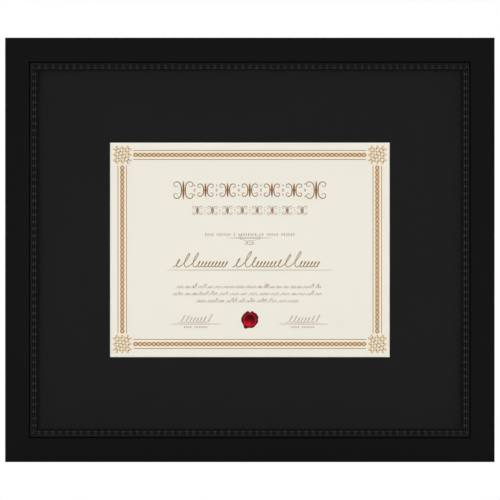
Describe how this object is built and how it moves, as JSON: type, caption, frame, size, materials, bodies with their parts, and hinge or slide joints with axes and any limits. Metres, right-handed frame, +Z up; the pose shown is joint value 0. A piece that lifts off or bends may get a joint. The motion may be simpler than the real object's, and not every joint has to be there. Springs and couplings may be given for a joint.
{
  "type": "certificate frame",
  "caption": "Wall-hung landscape certificate frame: mitred black moulding with a beaded lip, glazing, black mat, sheet with wax seal, turn-button back and D-ring hangers.",
  "frame": {"origin": "middle of the underside of the bottom rail", "axes": "+X to the viewer's right, +Y from the face to the back, +Z up"},
  "size_m": [0.4778, 0.0235, 0.4142],
  "materials": {
    "frame_wood": "satin black lacquer",
    "glazing": "clear polished",
    "mat_black": "matt black with a white core",
    "sheet_card": "smooth cream card",
    "seal_wax": "satin sealing wax",
    "tape": "white linen tape",
    "foam_board": "white foam-core board",
    "hardboard": "smooth brown hardboard",
    "steel_plate": "zinc plated",
    "bumper": "soft matt"
  },
  "bodies": {
    "frame": {"rail_top": "frame_wood", "rail_bottom": "frame_wood", "rail_left": "frame_wood", "rail_right": "frame_wood", "beading_top": "frame_wood", "beading_bottom": "frame_wood", "beading_left": "frame_wood", "beading_right": "frame_wood", "corner_v_nails": "steel_plate", "glazing": "glazing", "mat_board": "mat_black", "certificate_sheet": "sheet_card", "wax_seal": "seal_wax", "mat_hinge_tape": "tape", "sheet_hinge_tabs": "tape", "mounting_board": "foam_board", "backing_board": "hardboard", "turn_button_screws": "steel_plate", "hanger_screws": "steel_plate", "hanger_strap_left": "steel_plate", "hanger_strap_right": "steel_plate", "wall_bumper_left": "bumper", "wall_bumper_right": "bumper"},
    "turn_button_top_left": {"turn_button_top_left": "steel_plate"},
    "turn_button_top_right": {"turn_button_top_right": "steel_plate"},
    "turn_button_right_upper": {"turn_button_right_upper": "steel_plate"},
    "turn_button_right_lower": {"turn_button_right_lower": "steel_plate"},
    "turn_button_bottom_right": {"turn_button_bottom_right": "steel_plate"},
    "turn_button_bottom_left": {"turn_button_bottom_left": "steel_plate"},
    "turn_button_left_lower": {"turn_button_left_lower": "steel_plate"},
    "turn_button_left_upper": {"turn_button_left_upper": "steel_plate"},
    "hanger_ring_left": {"hanger_ring_left": "steel_plate"},
    "hanger_ring_right": {"hanger_ring_right": "steel_plate"}
  },
  "joints": [
    {"name": "turn_button_top_left_turn", "type": "hinge", "parent": "frame", "child": "turn_button_top_left", "pos_m": [-0.11944, 0.00953, 0.3959], "axis": [0, 1, 0], "continuous": true},
    {"name": "turn_button_top_right_turn", "type": "hinge", "parent": "frame", "child": "turn_button_top_right", "pos_m": [0.11944, 0.00953, 0.3959], "axis": [0, 1, 0], "continuous": true},
    {"name": "turn_button_right_upper_turn", "type": "hinge", "parent": "frame", "child": "turn_button_right_upper", "pos_m": [0.22052, 0.00953, 0.27611], "axis": [0, 1, 0], "continuous": true},
    {"name": "turn_button_right_lower_turn", "type": "hinge", "parent": "frame", "child": "turn_button_right_lower", "pos_m": [0.22052, 0.00953, 0.13814], "axis": [0, 1, 0], "continuous": true},
    {"name": "turn_button_bottom_right_turn", "type": "hinge", "parent": "frame", "child": "turn_button_bottom_right", "pos_m": [0.11944, 0.00953, 0.01835], "axis": [0, 1, 0], "continuous": true},
    {"name": "turn_button_bottom_left_turn", "type": "hinge", "parent": "frame", "child": "turn_button_bottom_left", "pos_m": [-0.11944, 0.00953, 0.01835], "axis": [0, 1, 0], "continuous": true},
    {"name": "turn_button_left_lower_turn", "type": "hinge", "parent": "frame", "child": "turn_button_left_lower", "pos_m": [-0.22052, 0.00953, 0.13814], "axis": [0, 1, 0], "continuous": true},
    {"name": "turn_button_left_upper_turn", "type": "hinge", "parent": "frame", "child": "turn_button_left_upper", "pos_m": [-0.22052, 0.00953, 0.27611], "axis": [0, 1, 0], "continuous": true},
    {"name": "hanger_ring_left_swing", "type": "hinge", "parent": "frame", "child": "hanger_ring_left", "pos_m": [-0.2262, 0.0115, 0.32311], "axis": [-1, 0, 0], "range_deg": [0, 172]},
    {"name": "hanger_ring_right_swing", "type": "hinge", "parent": "frame", "child": "hanger_ring_right", "pos_m": [0.2262, 0.0115, 0.32311], "axis": [-1, 0, 0], "range_deg": [0, 172]}
  ]
}
